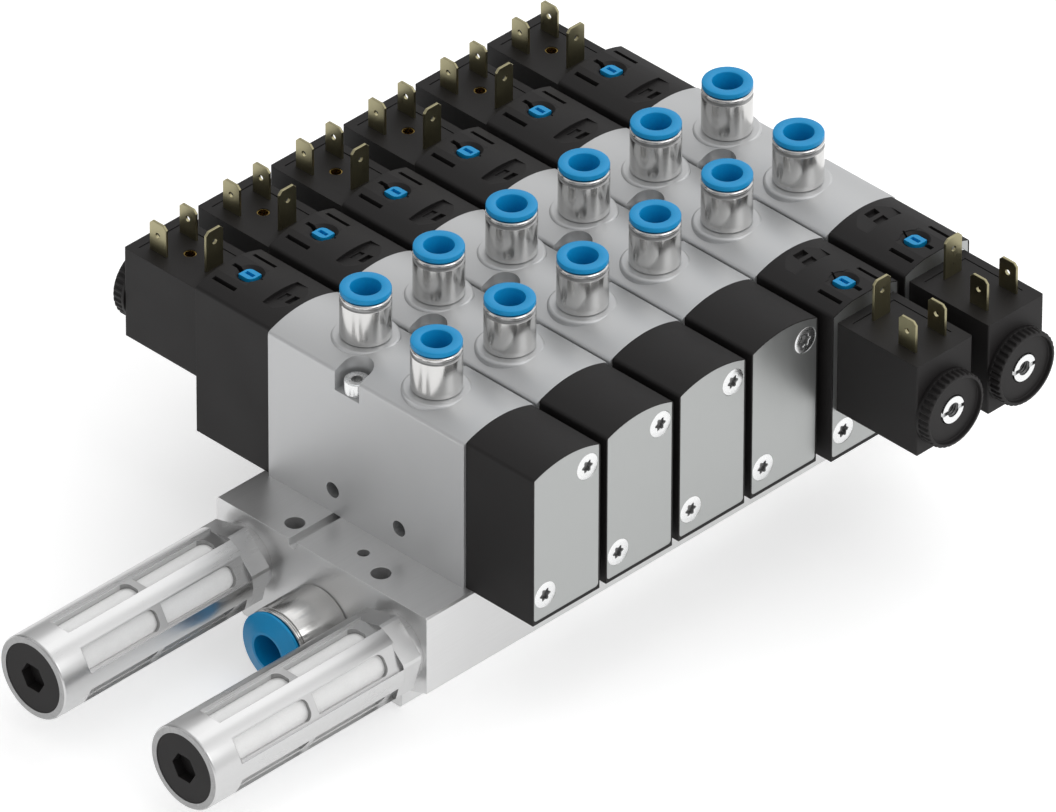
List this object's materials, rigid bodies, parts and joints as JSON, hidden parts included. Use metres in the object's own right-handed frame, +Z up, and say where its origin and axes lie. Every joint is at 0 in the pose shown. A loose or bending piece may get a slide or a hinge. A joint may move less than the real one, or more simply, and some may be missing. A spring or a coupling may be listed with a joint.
{
  "type": "pneumatic valve island",
  "caption": "Pneumatic valve island: a row of solenoid valves on an aluminium rail, with push-in tube fittings, flat-blade coils, a supply fitting and exhaust silencers.",
  "frame": {"origin": "centre of the rail's underside", "axes": "+X along the rail away from the silencers, +Y to the side where every valve has a coil, +Z up"},
  "size_m": [0.2759, 0.1946, 0.0968],
  "materials": {
    "rail_aluminium": "brushed",
    "cast_aluminium": "satin",
    "spool_aluminium": "satin",
    "black_plastic": "matte",
    "plate_steel": "brushed",
    "screw_steel": "satin",
    "tube_steel": "satin",
    "blue_plastic": "gloss",
    "chrome": "polished",
    "contact_brass": "satin",
    "seal_rubber": "matte",
    "white_plastic": "matte"
  },
  "bodies": {
    "island": {"manifold_rail": "rail_aluminium", "valve_body_1": "cast_aluminium", "valve_body_2": "cast_aluminium", "valve_body_3": "cast_aluminium", "valve_body_4": "cast_aluminium", "valve_body_5": "cast_aluminium", "valve_body_6": "cast_aluminium", "pilot_heads": "black_plastic", "end_caps": "black_plastic", "coils": "black_plastic", "coil_nuts": "black_plastic", "silencer_end_plugs": "black_plastic", "end_plates": "plate_steel", "valve_screws": "screw_steel", "plate_screws": "screw_steel", "armature_tubes": "tube_steel", "fitting_bodies": "chrome", "supply_fitting_body": "chrome", "silencer_bodies": "chrome", "port_plugs": "chrome", "contact_blades": "contact_brass", "coil_inserts": "contact_brass", "valve_gaskets": "seal_rubber", "tube_seals": "seal_rubber", "silencer_inserts": "white_plastic"},
    "release_ring_1": {"release_ring_1": "blue_plastic"},
    "release_ring_2": {"release_ring_2": "blue_plastic"},
    "release_ring_3": {"release_ring_3": "blue_plastic"},
    "release_ring_4": {"release_ring_4": "blue_plastic"},
    "release_ring_5": {"release_ring_5": "blue_plastic"},
    "release_ring_6": {"release_ring_6": "blue_plastic"},
    "release_ring_7": {"release_ring_7": "blue_plastic"},
    "release_ring_8": {"release_ring_8": "blue_plastic"},
    "release_ring_9": {"release_ring_9": "blue_plastic"},
    "release_ring_10": {"release_ring_10": "blue_plastic"},
    "release_ring_11": {"release_ring_11": "blue_plastic"},
    "release_ring_12": {"release_ring_12": "blue_plastic"},
    "supply_release_ring": {"supply_release_ring": "blue_plastic"},
    "override_button_1": {"override_button_1": "blue_plastic"},
    "override_button_2": {"override_button_2": "blue_plastic"},
    "override_button_3": {"override_button_3": "blue_plastic"},
    "override_button_4": {"override_button_4": "blue_plastic"},
    "override_button_5": {"override_button_5": "blue_plastic"},
    "override_button_6": {"override_button_6": "blue_plastic"},
    "override_button_7": {"override_button_7": "blue_plastic"},
    "override_button_8": {"override_button_8": "blue_plastic"},
    "spool_1": {"spool_1": "spool_aluminium"},
    "spool_2": {"spool_2": "spool_aluminium"},
    "spool_3": {"spool_3": "spool_aluminium"},
    "spool_4": {"spool_4": "spool_aluminium"},
    "spool_5": {"spool_5": "spool_aluminium"},
    "spool_6": {"spool_6": "spool_aluminium"},
    "armature_1": {"armature_1": "tube_steel"},
    "armature_2": {"armature_2": "tube_steel"},
    "armature_3": {"armature_3": "tube_steel"},
    "armature_4": {"armature_4": "tube_steel"},
    "armature_5": {"armature_5": "tube_steel"},
    "armature_6": {"armature_6": "tube_steel"},
    "armature_7": {"armature_7": "tube_steel"},
    "armature_8": {"armature_8": "tube_steel"}
  },
  "joints": [
    {"name": "ring_slide_1", "type": "slide", "parent": "island", "child": "release_ring_1", "axis": [0, 0, 1], "range_m": [-0.0002, 0.0008]},
    {"name": "ring_slide_2", "type": "slide", "parent": "island", "child": "release_ring_2", "axis": [0, 0, 1], "range_m": [-0.0002, 0.0008]},
    {"name": "ring_slide_3", "type": "slide", "parent": "island", "child": "release_ring_3", "axis": [0, 0, 1], "range_m": [-0.0002, 0.0008]},
    {"name": "ring_slide_4", "type": "slide", "parent": "island", "child": "release_ring_4", "axis": [0, 0, 1], "range_m": [-0.0002, 0.0008]},
    {"name": "ring_slide_5", "type": "slide", "parent": "island", "child": "release_ring_5", "axis": [0, 0, 1], "range_m": [-0.0002, 0.0008]},
    {"name": "ring_slide_6", "type": "slide", "parent": "island", "child": "release_ring_6", "axis": [0, 0, 1], "range_m": [-0.0002, 0.0008]},
    {"name": "ring_slide_7", "type": "slide", "parent": "island", "child": "release_ring_7", "axis": [0, 0, 1], "range_m": [-0.0002, 0.0008]},
    {"name": "ring_slide_8", "type": "slide", "parent": "island", "child": "release_ring_8", "axis": [0, 0, 1], "range_m": [-0.0002, 0.0008]},
    {"name": "ring_slide_9", "type": "slide", "parent": "island", "child": "release_ring_9", "axis": [0, 0, 1], "range_m": [-0.0002, 0.0008]},
    {"name": "ring_slide_10", "type": "slide", "parent": "island", "child": "release_ring_10", "axis": [0, 0, 1], "range_m": [-0.0002, 0.0008]},
    {"name": "ring_slide_11", "type": "slide", "parent": "island", "child": "release_ring_11", "axis": [0, 0, 1], "range_m": [-0.0002, 0.0008]},
    {"name": "ring_slide_12", "type": "slide", "parent": "island", "child": "release_ring_12", "axis": [0, 0, 1], "range_m": [-0.0002, 0.0008]},
    {"name": "supply_ring_slide", "type": "slide", "parent": "island", "child": "supply_release_ring", "axis": [-1, 0, 0], "range_m": [-0.0002, 0.0008]},
    {"name": "override_push_1", "type": "slide", "parent": "island", "child": "override_button_1", "axis": [0, 0, -1], "range_m": [0, 0.0014], "stiffness_N_per_m": 100, "springref_m": -0.002},
    {"name": "override_push_2", "type": "slide", "parent": "island", "child": "override_button_2", "axis": [0, 0, -1], "range_m": [0, 0.0014], "stiffness_N_per_m": 100, "springref_m": -0.002},
    {"name": "override_push_3", "type": "slide", "parent": "island", "child": "override_button_3", "axis": [0, 0, -1], "range_m": [0, 0.0014], "stiffness_N_per_m": 100, "springref_m": -0.002},
    {"name": "override_push_4", "type": "slide", "parent": "island", "child": "override_button_4", "axis": [0, 0, -1], "range_m": [0, 0.0014], "stiffness_N_per_m": 100, "springref_m": -0.002},
    {"name": "override_push_5", "type": "slide", "parent": "island", "child": "override_button_5", "axis": [0, 0, -1], "range_m": [0, 0.0014], "stiffness_N_per_m": 100, "springref_m": -0.002},
    {"name": "override_push_6", "type": "slide", "parent": "island", "child": "override_button_6", "axis": [0, 0, -1], "range_m": [0, 0.0014], "stiffness_N_per_m": 100, "springref_m": -0.002},
    {"name": "override_push_7", "type": "slide", "parent": "island", "child": "override_button_7", "axis": [0, 0, -1], "range_m": [0, 0.0014], "stiffness_N_per_m": 100, "springref_m": -0.002},
    {"name": "override_push_8", "type": "slide", "parent": "island", "child": "override_button_8", "axis": [0, 0, -1], "range_m": [0, 0.0014], "stiffness_N_per_m": 100, "springref_m": -0.002},
    {"name": "spool_slide_1", "type": "slide", "parent": "island", "child": "spool_1", "axis": [0, 1, 0], "range_m": [-0.003, 0], "stiffness_N_per_m": 200, "springref_m": 0.002},
    {"name": "spool_slide_2", "type": "slide", "parent": "island", "child": "spool_2", "axis": [0, 1, 0], "range_m": [-0.003, 0], "stiffness_N_per_m": 200, "springref_m": 0.002},
    {"name": "spool_slide_3", "type": "slide", "parent": "island", "child": "spool_3", "axis": [0, 1, 0], "range_m": [-0.003, 0], "stiffness_N_per_m": 200, "springref_m": 0.002},
    {"name": "spool_slide_4", "type": "slide", "parent": "island", "child": "spool_4", "axis": [0, 1, 0], "range_m": [-0.003, 0], "stiffness_N_per_m": 200, "springref_m": 0.002},
    {"name": "spool_slide_5", "type": "slide", "parent": "island", "child": "spool_5", "axis": [0, 1, 0], "range_m": [-0.003, 0]},
    {"name": "spool_slide_6", "type": "slide", "parent": "island", "child": "spool_6", "axis": [0, 1, 0], "range_m": [-0.003, 0]},
    {"name": "armature_slide_1", "type": "slide", "parent": "island", "child": "armature_1", "axis": [0, 1, 0], "range_m": [0, 0.001], "stiffness_N_per_m": 200, "springref_m": -0.001},
    {"name": "armature_slide_2", "type": "slide", "parent": "island", "child": "armature_2", "axis": [0, 1, 0], "range_m": [0, 0.001], "stiffness_N_per_m": 200, "springref_m": -0.001},
    {"name": "armature_slide_3", "type": "slide", "parent": "island", "child": "armature_3", "axis": [0, 1, 0], "range_m": [0, 0.001], "stiffness_N_per_m": 200, "springref_m": -0.001},
    {"name": "armature_slide_4", "type": "slide", "parent": "island", "child": "armature_4", "axis": [0, 1, 0], "range_m": [0, 0.001], "stiffness_N_per_m": 200, "springref_m": -0.001},
    {"name": "armature_slide_5", "type": "slide", "parent": "island", "child": "armature_5", "axis": [0, 1, 0], "range_m": [0, 0.001], "stiffness_N_per_m": 200, "springref_m": -0.001},
    {"name": "armature_slide_6", "type": "slide", "parent": "island", "child": "armature_6", "axis": [0, 1, 0], "range_m": [0, 0.001], "stiffness_N_per_m": 200, "springref_m": -0.001},
    {"name": "armature_slide_7", "type": "slide", "parent": "island", "child": "armature_7", "axis": [0, -1, 0], "range_m": [0, 0.001], "stiffness_N_per_m": 200, "springref_m": -0.001},
    {"name": "armature_slide_8", "type": "slide", "parent": "island", "child": "armature_8", "axis": [0, -1, 0], "range_m": [0, 0.001], "stiffness_N_per_m": 200, "springref_m": -0.001}
  ]
}
